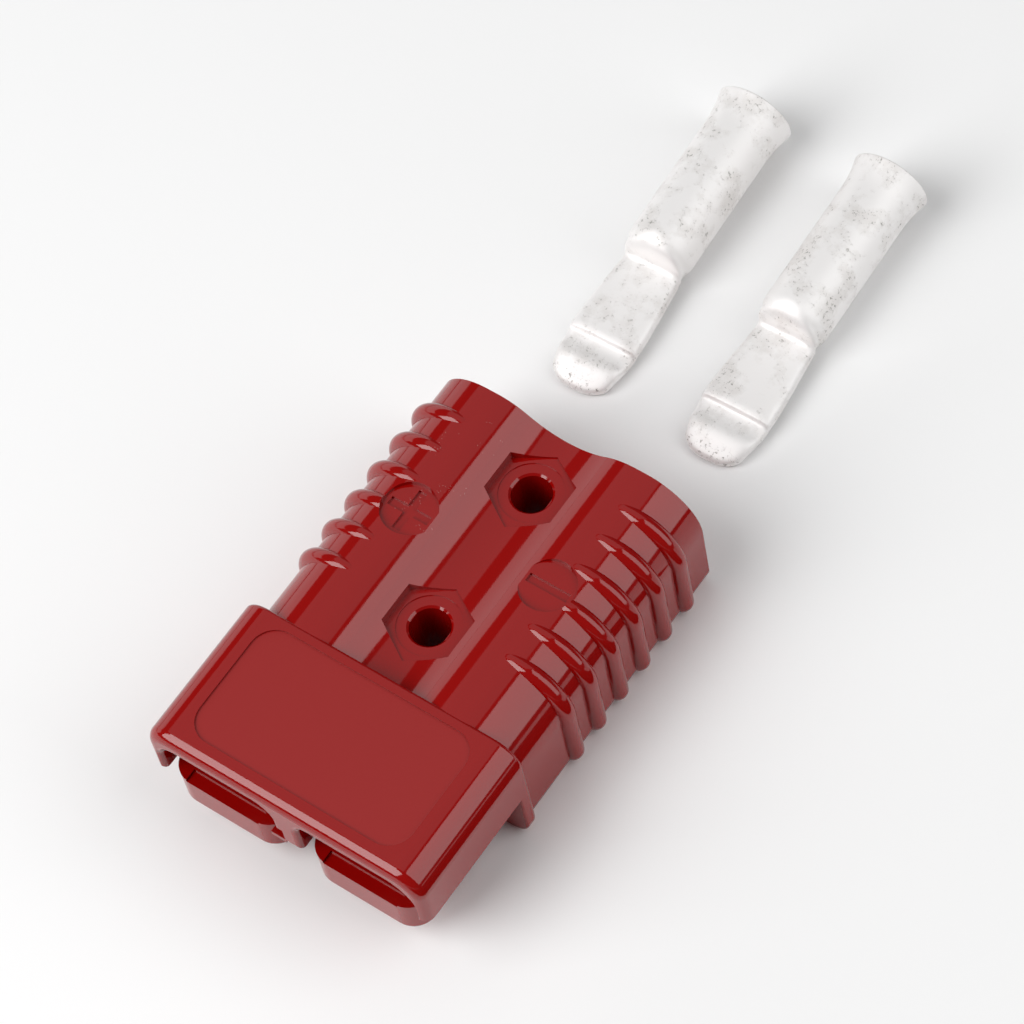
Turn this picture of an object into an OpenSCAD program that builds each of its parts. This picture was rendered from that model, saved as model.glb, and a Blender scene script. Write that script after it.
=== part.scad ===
// Two-pole genderless power connector: one moulded housing, two leaf springs
// inside it, and the pair of crimp contacts that belong to it, laid out behind.
// Millimetres, +Z up, cable end towards +Y. The origin is midway between the two
// mounting holes, on the plane that the housing rests on.

/* [Housing] */
// Overall length, from the mating face to the cable end
housing_length = 79.8; // [78:0.1:84]
// Distance from the midpoint of the mounting holes to the cable end
cable_end_reach = 25; // [24:0.1:28]
// Width across the hood, the flange and the ribs
housing_width = 54.4; // [53.6:0.1:56]
// Height of the hood; the mating plane lies at half of it
housing_height = 25.4; // [25:0.1:27]
// Distance between the centre lines of the two poles
pole_pitch = 27.4; // [27:0.1:27.8]
// Width of the body between the ribs
body_width = 51.5; // [50:0.1:52]
// Height of the two barrel crests of the body
crest_height = 25.2; // [24.8:0.05:25.3]
// Radius of the inner slope of each barrel
crest_radius = 11.3; // [10.5:0.1:12]
// Height of the bottom of the valley between the barrels
valley_height = 21.3; // [21.1:0.1:22]
// Radius of the outer upper corner of the body
shoulder_radius = 10; // [8:0.1:11]
// Radius of the lower corner of the body
sole_radius = 2.7; // [1:0.1:4]

/* [Hood] */
// Length of the hood, flange included
hood_length = 28; // [26:0.1:30]
// Thickness of the hood's side walls
hood_wall = 2.4; // [1.8:0.1:3]
// Thickness of the hood's roof
roof_thickness = 4; // [3.6:0.1:4.6]
// Radius of the hood's two long upper edges
hood_edge_radius = 5; // [3:0.1:7]
// Radius round the mouth edge of the hood
mouth_radius = 2; // [0.5:0.1:2.2]
// Radius of the rounding that leads a tongue into a cavity
lip_radius = 1.2; // [0.5:0.1:1.5]
// Radius of the lower front edge of the side walls and the divider
wall_edge_radius = 0.8; // [0.4:0.1:1.2]
// Radius of the hood's and the flange's rear edge
rear_edge_radius = 0.8; // [0.3:0.1:1.1]
// Thickness of the flange that the mating hood stops against
flange_thickness = 2.5; // [2:0.1:4]
// Radius of the flange's lower front edge
flange_edge_radius = 0.4; // [0.2:0.1:0.8]
// Radius of the flange's lower corners
flange_corner_radius = 3.5; // [2:0.1:5]
// Radius of the cavity's outer upper corner
cavity_outer_radius = 4.4; // [2:0.1:6]
// Radius where the cavity meets the divider
cavity_inner_radius = 3; // [1:0.1:4]
// Length of the label recess
label_length = 22.7; // [20:0.1:24]
// Width of the label recess
label_width = 42; // [38:0.1:43]
// Distance from the mating face to the label recess
label_margin = 3.36; // [2.5:0.01:4]
// Depth of the label recess
label_depth = 0.35; // [0.2:0.05:0.6]
// Corner radius of the label recess
label_radius = 4.5; // [2:0.1:6]

/* [Tongues and divider] */
// Play between a tongue and the mating hood around it
mating_clearance = 0.2; // [0.1:0.05:0.4]
// Play between the underside of a tongue and the mating hood's roof
roof_clearance = 1.2; // [0.4:0.1:1.4]
// Setback of the tongues' front from the mating face
tongue_setback = 0.2; // [0:0.1:1]
// Corner radius of a tongue, seen from above
tongue_corner_radius = 4.2; // [3:0.1:5]
// Radius of a tongue's lower edge
tongue_edge_radius = 0.8; // [0.5:0.1:3]
// Half the thickness of the divider between the two cavities
divider_half = 2.6; // [2.2:0.1:3]
// Distance from the middle to the divider's cut-back left face
divider_step = 0.65; // [0.4:0.05:1.2]
// Height of the cut-back above the mating plane
divider_step_height = 3.8; // [2:0.1:5]
// Thickness of the key flange on the left tongue
key_thickness = 1; // [0.6:0.1:1.5]
// Depth of the groove on top of a tongue
groove_depth = 0.5; // [0.2:0.1:1]
// Play on each side of a contact's blade in its groove
groove_clearance = 0.7; // [0.4:0.1:1]
// Distance from a tongue's front to its ledge
ledge_setback = 2.3; // [1.5:0.1:3]
// Thickness of the ledge
ledge_thickness = 0.8; // [0.6:0.1:1.5]
// Thickness of a tongue's floor
tongue_floor = 1.5; // [1:0.1:2]

/* [Mounting holes and polarity marks] */
// Distance between the two mounting holes
hole_spacing = 28.6; // [28:0.1:29.2]
// Radius of a mounting hole
hole_radius = 3.5; // [3:0.05:3.6]
// Width of a mounting hole between its two side flats
hole_flats = 6.7; // [6.6:0.05:7]
// Width across the flats of the nut pocket
nut_flats = 13.1; // [12.8:0.1:13.4]
// Height of the nut pocket's floor
nut_floor_height = 21; // [20.8:0.05:21.05]
// Radius of the washer seat in the nut pocket's floor
washer_radius = 5.6; // [5:0.1:6.2]
// Depth of the washer seat
washer_depth = 0.2; // [0.1:0.05:0.3]
// Chamfer round the top of a mounting hole
rim_chamfer = 0.35; // [0.1:0.05:0.5]
// Radius of a polarity disc
disc_radius = 4.88; // [4.5:0.02:5]
// Depth of a polarity disc below the crest
disc_depth = 0.9; // [0.6:0.05:1.2]
// Length of a bar of the plus and minus marks
mark_length = 7.9; // [6:0.1:8.4]
// Width of a bar of the plus and minus marks
mark_width = 1.6; // [1.2:0.1:2.2]
// Depth of the plus and minus marks
mark_depth = 0.5; // [0.3:0.1:0.7]

/* [Grip ribs] */
// Number of ribs on each side
rib_count = 6; // [4:1:6]
// Distance from one rib to the next
rib_pitch = 6.35; // [6:0.05:6.4]
// Middle of the row of ribs, towards the cable end from the holes' midpoint
rib_row_centre = 2; // [1:0.1:2.5]
// Radius of a rib's round bead
rib_radius = 1.7; // [1.4:0.1:2.2]
// Radius of a rib's outer corner
rib_corner_radius = 10; // [9.6:0.1:10.4]
// Angle over which a rib fades into the crest
rib_fade_angle = 25; // [20:1:30]
// Radius of a rib's lower corner
rib_foot_radius = 2.8; // [2.4:0.1:3.4]
// Height of the lower end of a rib
rib_foot = 0.4; // [0:0.1:3]

/* [Contacts] */
// Length of a contact
contact_length = 59.6; // [58:0.1:62]
// Radius of the barrel
barrel_radius = 6.3; // [6:0.1:6.5]
// Radius of the bell mouth
bell_radius = 7.25; // [7:0.05:7.4]
// Length of the bell mouth
bell_length = 6.6; // [5:0.1:8]
// Radius of the wire bore
wire_bore_radius = 5.25; // [4.8:0.05:5.5]
// Depth of the wire bore
wire_bore_depth = 25; // [22:0.5:26]
// Depth of the cone at the end of the wire bore
bore_end_cone = 2.5; // [1:0.1:3]
// Wall of the bell mouth at its rim
rim_wall = 0.9; // [0.6:0.1:1.2]
// Distance from the tip to the barrel's shoulder
shoulder_reach = 26; // [25:0.1:27]
// Radius of the barrel's rounded shoulder
barrel_shoulder_radius = 3.4; // [2.5:0.1:4]
// Full width of the blade, over its bulging sides
blade_width = 13.2; // [12.6:0.1:13.6]
// Full width of the blade where it meets the barrel
neck_width = 11; // [10.4:0.1:11.6]
// Width that the bulging sides add beyond the flat face, each side
blade_bulge = 1.4; // [1:0.1:1.8]
// Thickness of the blade
blade_thickness = 3.6; // [3:0.1:4]
// Drop of the blade's flat face below the barrel's axis
face_drop = 0.2; // [0:0.05:0.5]
// Distance from the tip to the step at the end of the flat face
step_reach = 9.6; // [9:0.1:10.5]
// Distance from the tip to the hump's ridge
ridge_reach = 5.4; // [5:0.1:6]
// Drop of the ridge below the flat face
ridge_drop = 0.4; // [0.2:0.1:0.8]
// Depth of the notch below the flat face
notch_depth = 1.1; // [0.8:0.1:1.5]
// Radius of the notch's floor
notch_radius = 2.2; // [1.8:0.1:2.6]
// Width of the hump at its ridge
ridge_width = 12; // [11.5:0.1:12.5]
// Distance from the ridge to the nose, where the hump turns down
nose_reach = 2.2; // [1.8:0.1:2.6]
// Drop from the ridge to the nose
nose_drop = 0.6; // [0.4:0.1:1]
// Width of the hump at its nose
nose_width = 11.4; // [11:0.1:12]
// Width of the tip
tip_width = 11; // [10:0.1:12]
// Thickness of the tip
tip_thickness = 1.8; // [1.2:0.1:2.4]
// Length over which the tip keeps its full width
tip_reach = 1.6; // [1.2:0.1:2]
// Radius of the tip's outline, seen from above
tip_radius = 8.8; // [7:0.1:12]
// Height by which the tip's rounded end is thinner
tip_chamfer = 0.4; // [0.2:0.1:0.6]
// Radius of the blade's bulging sides
blade_side_radius = 1.6; // [1.2:0.1:1.8]
// Play between the bell mouth and the housing's cable bore
bore_clearance = 0.75; // [0.5:0.05:0.9]
// Chamfer at the mouth of a cable bore
bore_chamfer = 0.8; // [0.3:0.1:1]

/* [Leaf springs] */
// Thickness of the spring strip
spring_thickness = 0.7; // [0.5:0.1:1]
// Play on each side of the spring in its recess
spring_clearance = 0.9; // [0.4:0.1:2]
// Length of the spring
spring_length = 20; // [16:0.5:21]
// Length of the flat foot at each end of the spring
spring_foot = 1.8; // [1:0.1:3]
// Play between the front of the recess and the spring
spring_setback = 0.8; // [0.3:0.1:1]
// Rise of the spring's arch
spring_rise = 2.2; // [1.5:0.1:2.6]

/* [Layout] */
// Distance from the holes' midpoint to the contacts' tips
contact_tip_y = 42.9; // [30:0.1:60]
// Sideways position of the left contact's tip
left_contact_x = -14.25; // [-25:0.05:-8]
// Sideways position of the right contact's tip
right_contact_x = 12.8; // [8:0.05:25]
// Turn of the left contact about the vertical, in degrees
left_contact_yaw = 1.6; // [-5:0.1:5]
// Turn of the right contact about the vertical, in degrees
right_contact_yaw = 0.9; // [-5:0.1:5]

/* [Hidden] */
$fn = 96;
eps = 0.01;
cut = 1;

half_width = housing_width / 2;
half_body = body_width / 2;
half_pitch = pole_pitch / 2;
mating_z = housing_height / 2;

// Stations along the housing
rear_y = cable_end_reach;
front_y = rear_y - housing_length;
hood_rear_y = front_y + hood_length;
flange_front_y = hood_rear_y - flange_thickness;

// Hood cavity
cavity_half = half_width - hood_wall;
cavity_top = housing_height - roof_thickness;

// Tongues
tongue_outer = cavity_half - mating_clearance;
tongue_inner = divider_half + mating_clearance;
tongue_bottom = roof_thickness + roof_clearance;
tongue_front_y = front_y + tongue_setback;
tongue_root_y = hood_rear_y - flange_thickness / 2;
key_tip = divider_step + mating_clearance;
groove_half = blade_width / 2 + groove_clearance;
ledge_y = tongue_front_y + ledge_setback;
recess_front_y = ledge_y + ledge_thickness;
recess_bottom = tongue_bottom + tongue_floor;

// Cable bore, wide enough to pass the contact's bell mouth
cable_bore_radius = bell_radius + bore_clearance;
cable_bore_end_y = hood_rear_y;

// Body section
crest_centre_z = crest_height - crest_radius;
valley_rise = valley_height - crest_centre_z;
valley_radius = (half_pitch * half_pitch + valley_rise * valley_rise - crest_radius * crest_radius)
    / (2 * (crest_radius - valley_rise));
valley_centre_z = valley_height + valley_radius;
blend_overlap = 0.5;
shoulder_x = half_body - shoulder_radius;
shoulder_z = crest_height - shoulder_radius;

// Marks
disc_floor = crest_height - disc_depth;

// Ribs
rib_corner_x = half_width - rib_corner_radius;
rib_corner_z = housing_height - rib_corner_radius;
rib_path_radius = rib_corner_radius - rib_radius;

// Contact
barrel_y = shoulder_reach;
bell_y = contact_length - bell_length;
bell_flare = bell_radius - barrel_radius;
bell_curve = (bell_length * bell_length + bell_flare * bell_flare) / (2 * bell_flare);
blade_root = barrel_y + barrel_shoulder_radius;
contact_pitch = atan((bell_radius - blade_thickness - face_drop) / contact_length);
slice = 0.2;

// Spring
spring_chord = spring_length - 2 * spring_foot;
spring_curve = (spring_chord * spring_chord / 4 + spring_rise * spring_rise) / (2 * spring_rise);
spring_half_width = groove_half - spring_clearance;
spring_front_y = recess_front_y + spring_setback;

// Rectangle from the axis out to "reach" and from y0 to y1, with its two outer corners rounded
module edge_profile(reach, y0, y1, front_r, rear_r) {
    difference() {
        translate([0, y0]) square([reach, y1 - y0]);
        translate([reach - front_r, y0 + front_r])
            corner_waste(front_r, 270);
        translate([reach - rear_r, y1 - rear_r])
            corner_waste(rear_r, 0);
    }
}

// What a rounding of radius r removes from a square corner that points towards turn + 45 degrees
module corner_waste(r, turn) {
    rotate(turn) difference() {
        square(r + cut);
        circle(r);
    }
}

// Extrudes a 2D shape, drawn in X and Z, along Y from y0 to y1
module along_y(y0, y1) {
    translate([0, y1, 0]) rotate([90, 0, 0]) linear_extrude(y1 - y0) children();
}

// Extrudes an edge profile along X between -half and half, reaching upwards (or downwards)
module along_x(half, up) {
    translate([up * half, 0, 0]) rotate([0, -90 * up, 0]) linear_extrude(2 * half) children();
}

// Sweeps an edge profile through a quarter turn about Y, from straight out to straight up
module quarter_up() {
    rotate([-90, 0, 0]) rotate([0, 0, -90]) rotate_extrude(angle = 90) children();
}

// Sweeps an edge profile through a quarter turn about Y, from straight out to straight down
module quarter_down() {
    rotate([-90, 0, 0]) rotate_extrude(angle = 90) children();
}

module both_sides() {
    children();
    mirror([1, 0, 0]) children();
}

// Upper half of the mating end: a roof and two side walls with rolled edges
module hood_block() {
    r = hood_edge_radius;
    translate([-(half_width - r), front_y, mating_z])
        cube([2 * (half_width - r), hood_length, housing_height - r - mating_z]);
    translate([0, 0, housing_height - r]) along_x(half_width - r, 1)
        edge_profile(r, front_y, hood_rear_y, mouth_radius, rear_edge_radius);
    both_sides() {
        translate([half_width - r, 0, housing_height - r]) quarter_up()
            edge_profile(r, front_y, hood_rear_y, mouth_radius, rear_edge_radius);
        translate([half_width - r, 0, mating_z]) linear_extrude(housing_height - r - mating_z)
            edge_profile(r, front_y, hood_rear_y, mouth_radius, rear_edge_radius);
    }
}

// Lower half of the flange behind the tongues
module flange_block() {
    r = flange_corner_radius;
    translate([-(half_width - r), flange_front_y, r])
        cube([2 * (half_width - r), flange_thickness, mating_z - r]);
    translate([0, 0, r]) along_x(half_width - r, -1)
        edge_profile(r, flange_front_y, hood_rear_y, flange_edge_radius, rear_edge_radius);
    both_sides() {
        translate([half_width - r, 0, r]) quarter_down()
            edge_profile(r, flange_front_y, hood_rear_y, flange_edge_radius, rear_edge_radius);
        translate([half_width - r, 0, r]) linear_extrude(mating_z - r)
            edge_profile(r, flange_front_y, hood_rear_y, flange_edge_radius, rear_edge_radius);
    }
}

// Section of the body: two barrels side by side with a smooth valley between them
module body_section() {
    difference() {
        union() {
            translate([-half_body, 0]) square([body_width, shoulder_z]);
            translate([-shoulder_x, 0]) square([2 * shoulder_x, crest_centre_z]);
            both_sides_2d() {
                translate([shoulder_x, shoulder_z]) circle(shoulder_radius);
                translate([half_pitch, crest_centre_z]) circle(crest_radius);
                translate([half_pitch, crest_centre_z])
                    square([shoulder_x - half_pitch, crest_radius]);
            }
            polygon([[-half_pitch - blend_overlap, crest_centre_z],
                [half_pitch + blend_overlap, crest_centre_z],
                [blend_overlap, valley_centre_z],
                [-blend_overlap, valley_centre_z]]);
        }
        translate([0, valley_centre_z]) circle(valley_radius, $fn = 256);
        both_sides_2d() translate([half_body - sole_radius, sole_radius])
            corner_waste(sole_radius, 270);
    }
}

module both_sides_2d() {
    children();
    mirror([1, 0]) children();
}

// Section of a rib from the axis of its corner outwards, with a full-round edge
module rib_profile(reach) {
    translate([0, -rib_radius]) square([reach - rib_radius, 2 * rib_radius]);
    intersection() {
        translate([reach - rib_radius, 0]) circle(rib_radius, $fn = 48);
        translate([0, -rib_radius]) square([reach, 2 * rib_radius]);
    }
}

// One grip rib: it runs up the side, bends over the upper corner and fades into the crest
module rib() {
    foot_r = rib_foot_radius;
    translate([rib_corner_x, 0, rib_corner_z])
        rotate([-90, 0, 0]) rotate([0, 0, -90 - rib_fade_angle])
        rotate_extrude(angle = 90 + rib_fade_angle) rib_profile(rib_corner_radius);
    translate([half_width - foot_r, 0, rib_foot + foot_r])
        linear_extrude(rib_corner_z - rib_foot - foot_r) rib_profile(foot_r);
    translate([half_width - foot_r, 0, rib_foot + foot_r]) quarter_down() rib_profile(foot_r);
}

module ribs() {
    for (i = [0 : rib_count - 1])
        translate([0, rib_row_centre + rib_pitch * (i - (rib_count - 1) / 2), 0]) both_sides() rib();
}

// Hollow of one pole inside the hood, with the divider on its inner side
module cavity_section(inner_x) {
    difference() {
        translate([inner_x, mating_z - cut])
            square([cavity_half - inner_x, cavity_top - mating_z + cut]);
        translate([cavity_half - cavity_outer_radius, cavity_top - cavity_outer_radius])
            corner_waste(cavity_outer_radius, 0);
        translate([inner_x + cavity_inner_radius, cavity_top - cavity_inner_radius])
            corner_waste(cavity_inner_radius, 90);
    }
}

// What the rounded lip of a cavity removes in front, at a distance from the axis of its corner
module lip_profile(distance) {
    translate([distance + lip_radius, front_y + lip_radius]) corner_waste(lip_radius, 180);
}

// Rounds the mouth of one cavity: up the divider, under the roof and down the side wall
module cavity_lip() {
    outer_x = cavity_half - cavity_outer_radius;
    inner_x = divider_half + cavity_inner_radius;
    translate([(inner_x + outer_x) / 2, 0, cavity_top]) along_x((outer_x - inner_x) / 2, 1)
        lip_profile(0);
    translate([outer_x, 0, cavity_top - cavity_outer_radius]) quarter_up()
        lip_profile(cavity_outer_radius);
    translate([inner_x, 0, cavity_top - cavity_inner_radius]) mirror([1, 0, 0]) quarter_up()
        lip_profile(cavity_inner_radius);
    translate([cavity_half, 0, mating_z - cut])
        linear_extrude(cavity_top - cavity_outer_radius - mating_z + cut) lip_profile(0);
    translate([divider_half, 0, mating_z - cut]) mirror([1, 0, 0])
        linear_extrude(cavity_top - cavity_inner_radius - mating_z + cut) lip_profile(0);
}

// Rounds the lower front edge of the side walls and the divider
module wall_edge() {
    translate([0, 0, mating_z + wall_edge_radius]) along_x(half_width + cut, -1)
        translate([0, front_y + wall_edge_radius]) corner_waste(wall_edge_radius, 270);
}

// Tongue of one pole, solid, with rolled lower edges and rounded front corners
module tongue_block() {
    r = tongue_corner_radius;
    height = mating_z - tongue_bottom;
    inner = tongue_inner + r;
    outer = tongue_outer - r;
    root = tongue_root_y - tongue_front_y - r;
    translate([inner, tongue_front_y + r, tongue_bottom]) cube([outer - inner, root, height]);
    translate([inner, tongue_front_y + r, 0]) rotate([90, 0, 90])
        linear_extrude(outer - inner) mirror([1, 0]) tongue_profile(r);
    translate([outer, tongue_root_y, 0]) rotate([90, 0, 0])
        linear_extrude(root) tongue_profile(r);
    translate([inner, tongue_root_y, 0]) rotate([90, 0, 0])
        linear_extrude(root) mirror([1, 0]) tongue_profile(r);
    translate([outer, tongue_front_y + r, 0]) rotate([0, 0, -90])
        rotate_extrude(angle = 90) tongue_profile(r);
    translate([inner, tongue_front_y + r, 0]) rotate([0, 0, 180])
        rotate_extrude(angle = 90) tongue_profile(r);
}

module tongue_profile(reach) {
    difference() {
        translate([0, tongue_bottom]) square([reach, mating_z - tongue_bottom]);
        translate([reach - tongue_edge_radius, tongue_bottom + tongue_edge_radius])
            corner_waste(tongue_edge_radius, 270);
    }
}

// Groove, spring recess and cable bore of one pole
module pole_hollow() {
    translate([half_pitch - groove_half, tongue_front_y - cut, mating_z - groove_depth])
        cube([2 * groove_half, ledge_setback + cut, groove_depth + cut]);
    translate([half_pitch - groove_half, recess_front_y, recess_bottom])
        cube([2 * groove_half, hood_rear_y + eps - recess_front_y, cavity_top - recess_bottom]);
    translate([half_pitch, rear_y + cut, mating_z]) rotate([90, 0, 0])
        cylinder(r = cable_bore_radius, h = rear_y + cut - cable_bore_end_y);
    translate([half_pitch, rear_y + eps, mating_z]) rotate([90, 0, 0])
        cylinder(r1 = cable_bore_radius + bore_chamfer, r2 = cable_bore_radius, h = bore_chamfer);
}

// Through hole, washer seat and nut pocket of one mounting hole
module mounting_hole() {
    intersection() {
        translate([0, 0, -cut]) cylinder(r = hole_radius, h = housing_height);
        translate([-hole_flats / 2, -hole_radius - cut, -cut])
            cube([hole_flats, 2 * (hole_radius + cut), housing_height]);
    }
    translate([0, 0, nut_floor_height - washer_depth - rim_chamfer])
        cylinder(r1 = hole_radius, r2 = hole_radius + rim_chamfer + eps, h = rim_chamfer + eps);
    translate([0, 0, nut_floor_height - washer_depth]) cylinder(r = washer_radius, h = cut);
    translate([0, 0, nut_floor_height]) rotate(30)
        cylinder(r = nut_flats / (2 * cos(30)), h = housing_height, $fn = 6);
}

// Recess that frames a rounded rectangle on top of the hood
module label_recess() {
    translate([-label_width / 2, front_y + label_margin, housing_height - label_depth])
        linear_extrude(label_depth + cut) difference() {
            square([label_width, label_length]);
            for (turn = [0 : 90 : 270])
                translate([label_width / 2, label_length / 2]) rotate(turn)
                    label_corner(turn % 180 == 0 ? label_width : label_length,
                        turn % 180 == 0 ? label_length : label_width);
        }
}

module label_corner(across, along) {
    translate([across / 2 - label_radius, along / 2 - label_radius]) corner_waste(label_radius, 0);
}

// Sunken polarity disc with its mark; the left pole is the positive one
module polarity_disc(side) {
    translate([side * half_pitch, 0, disc_floor]) cylinder(r = disc_radius, h = disc_depth + cut);
    translate([side * half_pitch, 0, disc_floor - mark_depth]) {
        bar(mark_length, mark_width);
        if (side < 0)
            bar(mark_width, mark_length);
    }
}

module bar(across, along) {
    translate([-across / 2, -along / 2, 0]) cube([across, along, mark_depth + cut]);
}

module housing() {
    color("firebrick") difference() {
        union() {
            hood_block();
            flange_block();
            along_y(hood_rear_y - flange_thickness / 2, rear_y) body_section();
            ribs();
        }
        along_y(front_y - cut, flange_front_y) cavity_section(divider_half);
        mirror([1, 0, 0]) along_y(front_y - cut, flange_front_y) cavity_section(divider_half);
        translate([-divider_half - cut, front_y - cut, mating_z - cut])
            cube([divider_half + cut - divider_step, flange_front_y - front_y + cut,
                divider_step_height + cut]);
        both_sides() {
            cavity_lip();
            pole_hollow();
        }
        for (side = [-1, 1]) {
            translate([0, side * hole_spacing / 2, 0]) mounting_hole();
            polarity_disc(side);
        }
        wall_edge();
        label_recess();
    }
    color("firebrick") difference() {
        union() {
            both_sides() tongue_block();
            translate([-tongue_inner - cut, tongue_front_y, mating_z - key_thickness])
                cube([tongue_inner + cut - key_tip, tongue_root_y - tongue_front_y, key_thickness]);
        }
        both_sides() pole_hollow();
    }
}

// Leaf spring of one pole, arched up from its two flat feet
module spring(side) {
    arch_y = spring_front_y + spring_length / 2;
    arch_z = recess_bottom + spring_rise - spring_curve;
    color("silver") translate([side * half_pitch - spring_half_width, 0, 0])
        rotate([90, 0, 90]) linear_extrude(2 * spring_half_width) {
            intersection() {
                difference() {
                    translate([arch_y, arch_z]) circle(spring_curve + spring_thickness);
                    translate([arch_y, arch_z]) circle(spring_curve);
                }
                translate([spring_front_y, recess_bottom])
                    square([spring_length, spring_rise + 2 * spring_thickness]);
            }
            for (y = [spring_front_y, spring_front_y + spring_length - spring_foot])
                translate([y, recess_bottom]) square([spring_foot, spring_thickness]);
        }
}

// Half outline of the barrel and its bell mouth, turned about the contact's axis
module barrel_profile() {
    difference() {
        union() {
            translate([0, barrel_y]) square([barrel_radius, contact_length - barrel_y]);
            difference() {
                translate([0, bell_y]) square([bell_radius, bell_length]);
                translate([barrel_radius + bell_curve, bell_y]) circle(bell_curve, $fn = 256);
            }
        }
        translate([barrel_radius - barrel_shoulder_radius, barrel_y + barrel_shoulder_radius])
            corner_waste(barrel_shoulder_radius, 270);
        translate([0, contact_length - wire_bore_depth])
            square([wire_bore_radius, wire_bore_depth + cut]);
        translate([0, contact_length - wire_bore_depth])
            polygon([[0, -bore_end_cone], [wire_bore_radius, 0], [0, 0]]);
        intersection() {
            translate([0, bell_y]) square([bell_radius, bell_length + cut]);
            translate([wire_bore_radius, contact_length])
                polygon([[0, -bell_length], [bell_radius - rim_wall - wire_bore_radius, 0],
                    [bell_radius - rim_wall - wire_bore_radius, cut], [0, cut]]);
        }
    }
}

// Section of the blade at one station: flat on top, bulging at the sides, flat below
module blade_slice(y, width, top, bottom) {
    side_r = min(blade_side_radius, (top - bottom) / 2);
    translate([0, y, 0]) rotate([90, 0, 0]) linear_extrude(slice) {
        translate([-width / 2 + blade_bulge, bottom])
            square([width - 2 * blade_bulge, top - bottom]);
        both_sides_2d() translate([width / 2 - side_r, (top + bottom) / 2])
            circle(side_r, $fn = 32);
    }
}

// Crimp contact with its axis along Y, its tip at the origin's plane and its barrel behind
module contact_shape() {
    face = -face_drop;
    bottom = face - blade_thickness;
    ridge = face - ridge_drop;
    rotate([-90, 0, 0]) rotate_extrude() barrel_profile();
    hull() {
        blade_slice(blade_root, neck_width, face, bottom);
        blade_slice(step_reach, blade_width, face, bottom);
    }
    difference() {
        hull() {
            blade_slice(step_reach + cut, blade_width, ridge, bottom);
            blade_slice(ridge_reach, ridge_width, ridge, bottom);
            blade_slice(ridge_reach - nose_reach, nose_width, ridge - nose_drop, bottom);
            blade_slice(tip_reach, tip_width, bottom + tip_thickness, bottom);
            intersection() {
                translate([0, tip_radius, bottom])
                    cylinder(r = tip_radius, h = tip_thickness - tip_chamfer);
                translate([-tip_width / 2, 0, bottom])
                    cube([tip_width, tip_radius, tip_thickness]);
            }
        }
        translate([-blade_width, step_reach - notch_radius, face - notch_depth + notch_radius])
            rotate([0, 90, 0]) cylinder(r = notch_radius, h = 2 * blade_width);
    }
}

// Places a contact as it lies: its bell mouth and its tip on the surface
module contact(x, yaw) {
    color("gainsboro") translate([x, contact_tip_y, 0]) rotate([0, 0, yaw])
        translate([0, 0, bell_radius * cos(contact_pitch) - contact_length * sin(contact_pitch)])
        rotate([contact_pitch, 0, 0]) contact_shape();
}

housing();
spring(-1);  // spring_left
spring(1);  // spring_right
contact(left_contact_x, left_contact_yaw);  // contact_left
contact(right_contact_x, right_contact_yaw);  // contact_right
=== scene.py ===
# %% [markdown]
# # Genderless power connector with two loose crimp contacts
# Every length is in metres. The CAD model gives the shapes and their places. This script adds the
# finishes, the fine surfaces of the contacts, the studio and the camera.

import math
import bpy
import numpy as np
from mathutils import Matrix, Vector


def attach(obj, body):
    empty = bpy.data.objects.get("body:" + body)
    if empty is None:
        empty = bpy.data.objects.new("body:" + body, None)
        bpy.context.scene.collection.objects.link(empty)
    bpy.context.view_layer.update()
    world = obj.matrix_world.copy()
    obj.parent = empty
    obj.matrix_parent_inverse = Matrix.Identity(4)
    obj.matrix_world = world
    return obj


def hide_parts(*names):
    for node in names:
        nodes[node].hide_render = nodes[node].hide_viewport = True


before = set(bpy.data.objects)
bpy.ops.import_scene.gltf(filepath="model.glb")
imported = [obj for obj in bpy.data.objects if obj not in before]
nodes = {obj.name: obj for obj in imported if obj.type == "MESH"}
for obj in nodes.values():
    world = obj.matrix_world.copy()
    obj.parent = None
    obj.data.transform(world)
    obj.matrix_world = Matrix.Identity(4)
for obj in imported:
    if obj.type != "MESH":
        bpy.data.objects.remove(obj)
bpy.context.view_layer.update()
mm = 0.001

# %% [markdown]
# ## Helpers
# A colour is written as an sRGB hex code and changed into linear light in one place. One small
# helper adds a shader node and fills or links its sockets.


# %% Colour and node helpers
def linear(code):
    """sRGB hex code to a linear colour with alpha 1."""
    parts = [int(code[i:i + 2], 16) / 255 for i in (1, 3, 5)]
    return tuple(p / 12.92 if p <= 0.04045 else ((p + 0.055) / 1.055) ** 2.4 for p in parts) + (1.0,)


def add(tree, kind, inputs, **settings):
    """Adds a shader node, sets its properties, then fills its sockets and returns its first output."""
    node = tree.nodes.new("ShaderNode" + kind)
    for name, value in settings.items():
        setattr(node, name, value)
    for key, value in inputs.items():
        if isinstance(value, bpy.types.NodeSocket):
            tree.links.new(value, node.inputs[key])
        else:
            node.inputs[key].default_value = value
    return next(s for s in node.outputs if s.enabled)


def new_material(name, **inputs):
    """A node material with a Principled shader whose uniform values are set on its sockets."""
    material = bpy.data.materials.new(name)
    material.use_nodes = True
    tree = material.node_tree
    shader = tree.nodes["Principled BSDF"]
    for key, value in inputs.items():
        shader.inputs[key.replace("_", " ")].default_value = value
    return material, tree, shader.inputs


# %% [markdown]
# ## Red housing plastic
# The housing is injection-moulded polycarbonate from a polished mould. The label recess is satin,
# because its part of the mould was blasted. A little dust lies on the left barrel.


# %% Glossy red polycarbonate, injection-moulded in a polished mould
# Regions of the finish in mm: the floor of the label recess, and the dusty part of the left barrel
label_x, label_y, label_z = (-21.0, 21.0), (-51.5, -28.7), (25.0, 25.1)
dust_x, dust_y = (-17.0, -8.0), (-2.0, 20.0)


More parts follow.
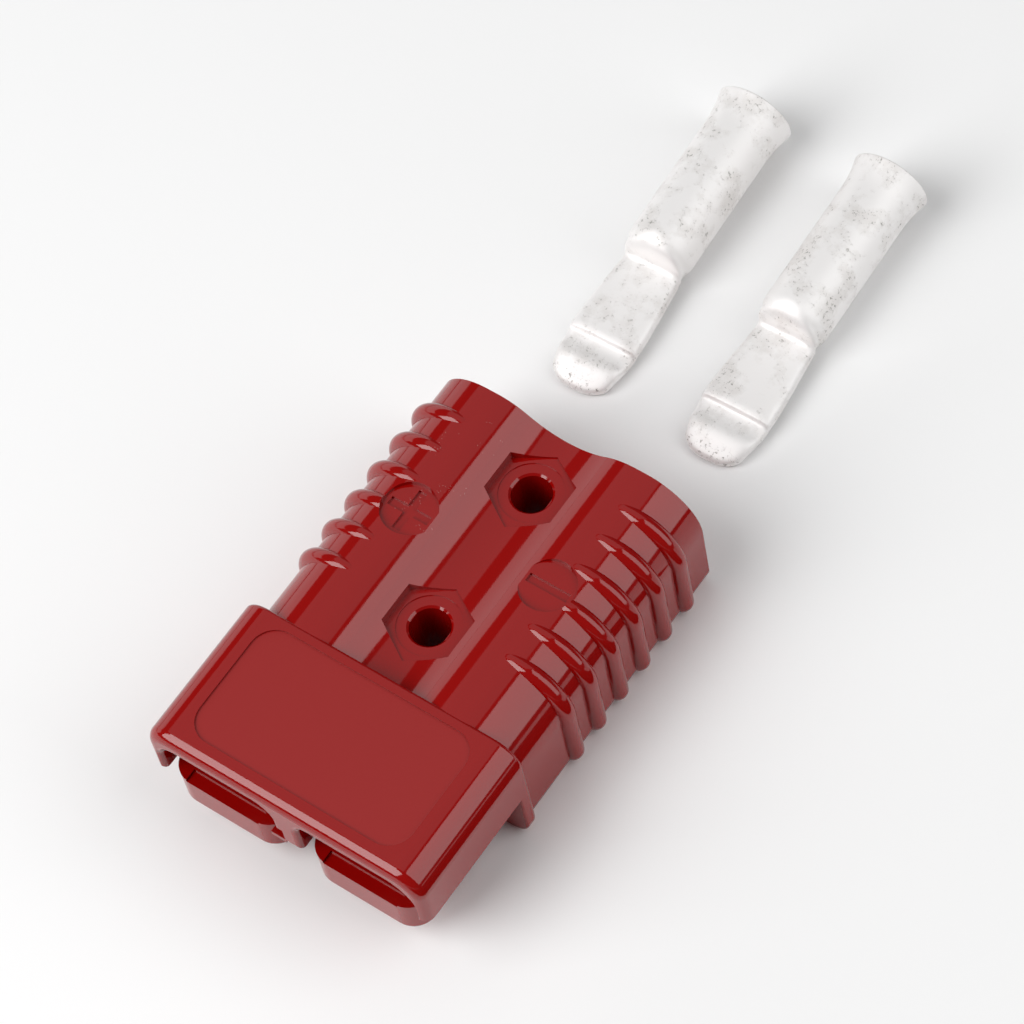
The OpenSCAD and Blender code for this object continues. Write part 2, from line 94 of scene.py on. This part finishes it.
def housing_plastic():
    """Deep red gloss, with a satin label recess, a faint skin and specks of dust."""
    material, tree, sockets = new_material("polycarbonate_red_polished_mould", IOR=1.56)
    place = tree.nodes.new("ShaderNodeTexCoord").outputs["Object"]
    split = tree.nodes.new("ShaderNodeSeparateXYZ")
    tree.links.new(place, split.inputs[0])
    x, y, z = split.outputs

    def math_node(operation, a, b):
        return add(tree, "Math", {0: a, 1: b}, operation=operation)

    def inside(value, low, high):
        """1 where value lies between low and high, both in mm."""
        return math_node("MULTIPLY", math_node("GREATER_THAN", value, low * mm),
                         math_node("LESS_THAN", value, high * mm))

    label = math_node("MULTIPLY", inside(x, *label_x),
                      math_node("MULTIPLY", inside(y, *label_y), inside(z, *label_z)))
    cloud = add(tree, "TexNoise", {"Vector": place, "Scale": 160.0, "Detail": 4.0})
    gloss = add(tree, "MapRange", {"Value": cloud, 3: 0.05, 4: 0.10})
    rough = add(tree, "Mix", {0: label, 2: gloss, 3: 0.42}, data_type="FLOAT")
    tree.links.new(rough, sockets["Roughness"])

    grains = add(tree, "TexVoronoi", {"Vector": place, "Scale": 2600.0})
    patch = add(tree, "TexNoise", {"Vector": place, "Scale": 210.0, "Detail": 2.0})
    where = math_node("MULTIPLY", math_node("LESS_THAN", grains, 0.13),
                      math_node("MULTIPLY", math_node("GREATER_THAN", patch, 0.56),
                                math_node("MULTIPLY", inside(x, *dust_x), inside(y, *dust_y))))
    dust = math_node("MULTIPLY", where, 0.7)
    tint = add(tree, "Mix", {0: label, 6: linear("#8E0604"), 7: linear("#910A07")}, data_type="RGBA")
    colour = add(tree, "Mix", {0: dust, 6: tint, 7: linear("#D8B4AE")}, data_type="RGBA")
    tree.links.new(colour, sockets["Base Color"])

    skin = add(tree, "TexNoise", {"Vector": place, "Scale": 5200.0, "Detail": 1.0})
    depth = add(tree, "Mix", {0: label, 2: 0.12, 3: 0.5}, data_type="FLOAT")
    bump = add(tree, "Bump", {"Height": skin, "Strength": depth, "Distance": 0.01 * mm})
    tree.links.new(bump, sockets["Normal"])
    return material


red = housing_plastic()
print("material:", red.name)

# %% [markdown]
# ## Metals
# The contacts are copper with a thick matte silver plating, tumbled with others in a barrel, so the
# skin is frosted, mottled with grey and stained brown at the worn tip. The springs are bright strip.


# %% Silver-plated copper, barrel-plated and tumbled
def silver_plating():
    """Frosted silver with grey smudges, and a brown stain where the nose has worn."""
    material, tree, sockets = new_material("silver_plated_copper_tumbled", Metallic=0.5)
    place = tree.nodes.new("ShaderNodeTexCoord").outputs["Object"]
    wear = tree.nodes.new("ShaderNodeAttribute")
    wear.attribute_name = "wear"
    fine = add(tree, "TexNoise", {"Vector": place, "Scale": 1500.0, "Detail": 6.0, "Roughness": 0.7})
    broad = add(tree, "TexNoise", {"Vector": place, "Scale": 190.0, "Detail": 5.0, "Roughness": 0.65})
    spots = add(tree, "MapRange", {"Value": fine, 1: 0.56, 2: 0.66})
    areas = add(tree, "MapRange", {"Value": broad, 1: 0.47, 2: 0.62})
    grime = add(tree, "Math", {0: spots, 1: areas}, operation="MULTIPLY")
    stain = add(tree, "Math", {0: wear.outputs["Fac"], 1: spots}, operation="MULTIPLY")
    clean = add(tree, "Mix", {0: areas, 6: linear("#F7F5F4"), 7: linear("#EBE8E6")}, data_type="RGBA")
    dirty = add(tree, "Mix", {0: grime, 6: clean, 7: linear("#8F8A84")}, data_type="RGBA")
    worn = add(tree, "Mix", {0: stain, 6: dirty, 7: linear("#5A4438")}, data_type="RGBA")
    tree.links.new(worn, sockets["Base Color"])
    rough = add(tree, "MapRange", {"Value": fine, 3: 0.5, 4: 0.66})
    tree.links.new(rough, sockets["Roughness"])
    bump = add(tree, "Bump", {"Height": fine, "Strength": 0.35, "Distance": 0.05 * mm})
    tree.links.new(bump, sockets["Normal"])
    return material


silver = silver_plating()
print("material:", silver.name)

# %% Stainless spring strip, cold-rolled and stamped
steel = new_material("spring_strip_stainless_rolled", Base_Color=linear("#C9C7C4"), Metallic=1.0,
                     Roughness=0.28)[0]
print("material:", steel.name)

# %% [markdown]
# ## Housing and springs
# These keep their CAD meshes, whose shading follows the exact curved faces.

# %% Housing and springs take their finish
for name, material, slot in (("housing", red, "housing_plastic"),
                             ("spring_left", steel, "spring_steel"),
                             ("spring_right", steel, "spring_steel")):
    nodes[name].data.materials.clear()
    nodes[name].data.materials.append(material)
    print(name, "faces:", len(nodes[name].data.polygons))

# %% [markdown]
# ## Contacts
# Each contact is one closed surface, lofted through rings from its tip, over the nose, the notch and
# the flat face, up the shoulder of the barrel, over the bell mouth and down into the wire bore.

# %% Stations along a contact, in mm
# Radii of the bell mouth, the barrel and the wire bore
length, bell, barrel, bore = 59.6, 7.25, 6.3, 5.25
blade_thickness, face_drop, blade_end = 3.6, 0.2, 5.6
flare_length, bore_flare = 6.6, 1.1
flare_start = length - flare_length
shoulder_end, shoulder_radius = 29.4, 3.4
tip_y = 42.9
under = -blade_thickness - face_drop
pitch = math.atan((bell - blade_thickness - face_drop) / length)
# Each station: (distance from the tip, half width, top, bottom, exponent)
tip = [(0.0, 1.2, under + 0.95, under + 0.85, 2.2), (0.06, 2.0, under + 1.2, under + 0.55, 2.4),
       (0.3, 2.9, under + 1.55, under + 0.28, 2.7), (0.75, 3.85, under + 1.85, under + 0.08, 3.0),
       (1.3, 4.65, under + 2.08, under, 3.2), (1.95, 5.3, under + 2.3, under, 3.4)]
blade = [(2.6, 5.55, -1.28, under, 3.6), (3.4, 5.75, -0.98, under, 3.8), (4.4, 5.95, -0.68, under, 4.0),
         (5.2, 6.1, -0.6, under, 4.2), (5.8, 6.2, -0.72, under, 4.2), (6.5, 6.3, -1.0, under, 4.2),
         (7.3, 6.4, -1.22, under, 4.2), (8.1, 6.5, -1.25, under, 4.2), (8.9, 6.55, -1.08, under, 4.2),
         (9.45, 6.58, -0.9, under, 4.2), (9.55, 6.6, -0.3, under, 4.2), (9.7, 6.6, -0.2, under, 4.2),
         (11.0, 6.6, -0.2, under, 4.2), (14.0, 6.5, -0.2, under, 4.2), (18.0, 6.2, -0.2, under, 4.2),
         (22.0, 5.85, -0.2, under, 4.0), (24.6, 5.65, -0.2, under, 3.8), (25.5, 5.6, -0.1, under, 3.6)]


# %% Barrel stations: shoulder, bell mouth, rim and bore
def barrel_stations():
    """Rings of the barrel as stations; all are circles past the shoulder."""
    rings = [(25.85, blade_end, 0.6, under - 0.1, 3.3), (26.0, blade_end, 1.8, under - 0.3, 3.0)]
    for y in np.linspace(26.15, shoulder_end, 9):
        back = shoulder_end - y
        r = barrel - shoulder_radius + math.sqrt(max(0.0, shoulder_radius ** 2 - back ** 2))
        rings.append((y, max(r, blade_end), r, min(-r, under - 0.4),
                      2.0 + 0.8 * (back / shoulder_radius) ** 2))
    rise = bell - barrel
    flare = (flare_length ** 2 + rise ** 2) / (2 * rise)
    outside = [(y, barrel) for y in np.linspace(31, flare_start, 12)]
    outside += [(y, barrel + flare - math.sqrt(flare ** 2 - (y - flare_start) ** 2))
                for y in np.linspace(54, 59.3, 9)]
    rim = [(59.5, 7.2), (59.58, 7.08), (59.6, 6.9), (59.58, 6.6), (59.45, 6.4)]
    inside = [(y, bore + (y - flare_start) / flare_length * bore_flare)
              for y in np.linspace(58.8, flare_start, 6)]
    inside += [(y, bore) for y in np.linspace(50, 34.6, 6)] + [(33.4, 2.7), (32.2, 0.15)]
    return rings + [(y, r, r, -r, 2.0) for y, r in outside + rim + inside]


rings = tip + blade + barrel_stations()
print("rings:", len(rings))


# %% Loft
def contact_surface(points=128):
    """Rings of points (n, m, 3) in mm: x = w cos^(2/e), z = mid + h sin^(2/e), e = 2 for a circle."""
    turn = np.linspace(0, 2 * np.pi, points, endpoint=False) + np.pi / points
    c, s = np.cos(turn), np.sin(turn)
    out = []
    for y, w, top, bottom, e in rings:
        out.append(np.stack([w * np.sign(c) * np.abs(c) ** (2 / e), np.full(points, y),
                             (top + bottom) / 2
                             + (top - bottom) / 2 * np.sign(s) * np.abs(s) ** (2 / e)], 1))
    return np.array(out)


def loose_contact(name, side_x, yaw):
    """Lofts one contact, closes both ends with a centre point and lays it in its place."""
    grid = contact_surface()
    count, around = grid.shape[:2]
    ends = np.array([grid[0].mean(0), grid[-1].mean(0)])
    local = np.vstack([grid.reshape(-1, 3), ends]) * mm
    drop = (bell * math.cos(pitch) - length * math.sin(pitch)) * mm
    move = (Matrix.Translation((side_x * mm, tip_y * mm, 0))
            @ Matrix.Rotation(math.radians(yaw), 4, "Z")
            @ Matrix.Translation((0, 0, drop)) @ Matrix.Rotation(pitch, 4, "X"))
    turn = np.array(move)
    world = local @ turn[:3, :3].T + turn[:3, 3]
    i, j = np.meshgrid(np.arange(count - 1), np.arange(around), indexing="ij")
    k = (j + 1) % around
    quads = np.stack([i * around + j, i * around + k, (i + 1) * around + k, (i + 1) * around + j], -1)
    first = [(count * around, (q + 1) % around, q) for q in range(around)]
    base = (count - 1) * around
    last = [(count * around + 1, base + q, base + (q + 1) % around) for q in range(around)]
    mesh = bpy.data.meshes.new(name)
    mesh.from_pydata(world.tolist(), [], [tuple(f[::-1]) for f in quads.reshape(-1, 4).tolist()]
                     + [f[::-1] for f in first + last])
    mesh.attributes.new("wear", "FLOAT", "POINT").data.foreach_set(
        "value", np.clip(1 - np.abs(local[:, 1] / mm - 1.2) / 1.6, 0, 1).astype(np.float32))
    mesh.materials.append(silver)
    mesh.shade_smooth()
    piece = bpy.data.objects.new(name, mesh)
    bpy.context.scene.collection.objects.link(piece)
    return piece


# %% Both contacts stand for their CAD nodes
for node_name, side_x, yaw in (("contact_left", -14.25, 1.6), ("contact_right", 12.8, 0.9)):
    piece = loose_contact(node_name + "_plated", side_x, yaw)
    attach(piece, "root")
    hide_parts(node_name)

# %% [markdown]
# ## Studio
# A pale sheet lies under the object. A large soft panel hangs in front and above, a tall one stands at
# the right and shows as a band with sharp ends in the gloss, and a dim ceiling and a white wall at
# the left fill the rest. A dark card at the right is seen by reflections only.


# %% Floor and card
def flat_piece(name, low, high, height, material):
    """A level rectangle that belongs to the studio."""
    mesh = bpy.data.meshes.new(name)
    mesh.from_pydata([(low[0], low[1], height), (high[0], low[1], height), (high[0], high[1], height),
                      (low[0], high[1], height)], [], [(0, 1, 2, 3)])
    mesh.materials.append(material)
    piece = bpy.data.objects.new(name, mesh)
    bpy.context.scene.collection.objects.link(piece)
    return piece


paper = new_material("paper_white_uncoated", Base_Color=linear("#F4F4F4"), Roughness=1.0)[0]
felt = new_material("felt_black", Base_Color=linear("#050505"), Roughness=1.0)[0]
floor_height, card_height = -0.02 * mm, 0.3 * mm
flat_piece("floor", (-2.5, -2.5), (2.5, 2.5), floor_height, paper)
card = flat_piece("dark_card", (0.048, -0.3), (2.4, 0.028), card_height, felt)
for ray in ("camera", "diffuse", "shadow", "transmission"):
    setattr(card, "visible_" + ray, False)


# %% Panels
aim = Vector((0, -0.01, 0.02))


def panel(name, direction, distance, size, radiance, up=(0, 0, 1)):
    """A rectangular soft light of one radiance, in that direction from the object and facing it."""
    data = bpy.data.lights.new(name, "AREA")
    data.shape = "RECTANGLE"
    data.size, data.size_y = size
    data.energy = radiance * math.pi * size[0] * size[1]
    lamp = bpy.data.objects.new(name, data)
    bpy.context.scene.collection.objects.link(lamp)
    back = Vector(direction).normalized()
    right = Vector(up).cross(back).normalized()
    axes = Matrix([right, back.cross(right), back]).transposed().to_4x4()
    lamp.matrix_world = Matrix.Translation(aim + back * distance) @ axes
    print(name, "at mm:", [round(v / mm) for v in lamp.location])
    return lamp


panel("front_panel", (-0.37, -0.60, 0.70), 1.0, (0.75, 0.98), 4.6)
panel("side_panel", (0.68, 0.30, 0.60), 1.0, (0.75, 1.22), 1.9, up=(-0.6, 0, 0.7))
panel("left_wall", (-0.95, 0.30, 0.24), 1.2, (2.0, 0.52), 1.0)
panel("ceiling", (-0.26, 0.45, 0.9), 1.2, (1.05, 1.3), 0.42, up=(0, 1, 0))

# %% World: white to the camera, dim to everything else
world = bpy.data.worlds.new("studio")
bpy.context.scene.world = world
world.use_nodes = True
tree = world.node_tree
seen = tree.nodes.new("ShaderNodeLightPath").outputs["Is Camera Ray"]
background = tree.nodes["Background"]
background.inputs["Color"].default_value = linear("#FFFFFF")
tree.links.new(add(tree, "MapRange", {"Value": seen, 3: 0.07, 4: 1.0}), background.inputs["Strength"])

# %% [markdown]
# ## Camera
# A long lens looks down on the object from its front right.

# %% Camera
right, up, back = ((0.81318282, 0.56944544, -0.12027299), (-0.44725887, 0.74365395, 0.49692888),
                   (0.37241537, -0.35030087, 0.85941614))
eye = (0.2686995, -0.24364979, 0.64260048)
focal_mm = 157.313988
lens = bpy.data.cameras.new("camera")
lens.sensor_width = 36
lens.lens = focal_mm
camera = bpy.data.objects.new("camera", lens)
bpy.context.scene.collection.objects.link(camera)
camera.matrix_world = Matrix([(*row, p) for row, p in zip(zip(right, up, back), eye)] + [(0, 0, 0, 1)])
bpy.context.scene.camera = camera
bpy.context.scene.view_settings.view_transform = "Standard"
